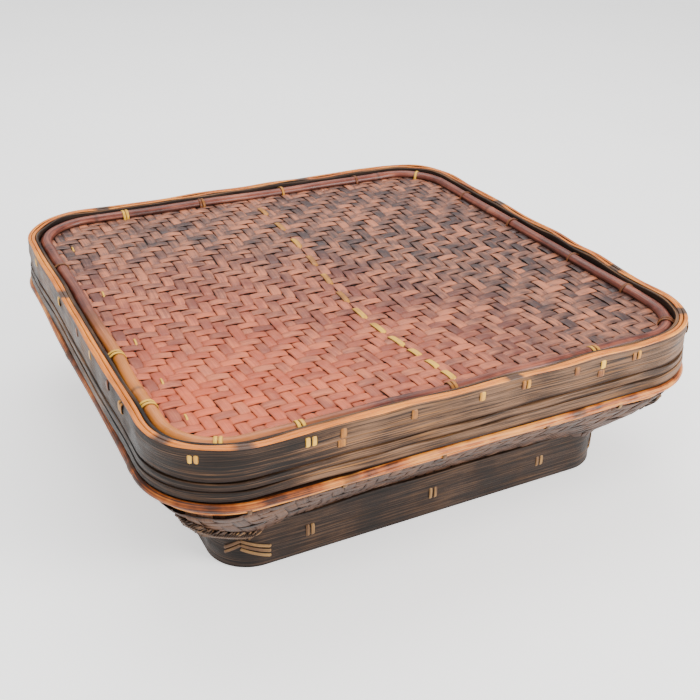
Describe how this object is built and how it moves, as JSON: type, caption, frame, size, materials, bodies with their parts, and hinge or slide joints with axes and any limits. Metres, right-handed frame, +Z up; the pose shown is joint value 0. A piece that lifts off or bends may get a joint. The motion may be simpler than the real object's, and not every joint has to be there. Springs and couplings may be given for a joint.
{
  "type": "lidded woven basket",
  "caption": "Square woven bamboo basket with rounded corners, a lift-off lid with a raised laminated rim, a sloping woven tray and a bent-bamboo foot ring.",
  "frame": {"origin": "centre of the foot ring's underside, on the surface that the basket stands on", "axes": "+Z up, the way the lid lifts; X and Y along the square's sides, with the lid's centre batten along Y"},
  "size_m": [0.4472, 0.4472, 0.14],
  "materials": {
    "rim_bamboo": "waxed, worn golden on the edges",
    "dark_bamboo": "satin, fine lengthwise grain",
    "red_bamboo": "satin lacquer over split bamboo",
    "woven_bamboo": "satin, flat woven strips",
    "cane": "satin split cane",
    "foot_cane": "satin aged cane",
    "raw_bamboo": "matt, unfinished inside face"
  },
  "bodies": {
    "base": {"base_rim_hoop": "rim_bamboo", "base_collar": "raw_bamboo", "base_rim_strand": "foot_cane", "base_rim_loops": "foot_cane", "base_woven_wall": "woven_bamboo", "base_woven_floor": "woven_bamboo", "foot_outer_band": "dark_bamboo", "foot_backing_band": "raw_bamboo", "foot_stitches": "foot_cane", "foot_lashing_back_right": "foot_cane", "foot_lashing_back_left": "foot_cane", "foot_lashing_front_left": "foot_cane", "foot_lashing_front_right": "foot_cane", "floor_slat_1": "raw_bamboo", "floor_slat_2": "raw_bamboo", "floor_slat_3": "raw_bamboo"},
    "lid": {"lid_outer_upper_band": "dark_bamboo", "lid_outer_lower_band": "dark_bamboo", "lid_core_band": "rim_bamboo", "lid_liner_band": "raw_bamboo", "lid_rim_filler": "rim_bamboo", "lid_woven_panel": "woven_bamboo", "lid_clamping_rod": "red_bamboo", "lid_rim_lashings": "cane", "lid_centre_batten": "raw_bamboo", "lid_centre_stitches": "cane", "lid_side_batten": "raw_bamboo", "lid_side_stitches": "cane"}
  },
  "joints": [
    {"name": "lid_lift", "type": "slide", "parent": "base", "child": "lid", "axis": [0, 0, 1], "range_m": [0, 0.15]}
  ]
}
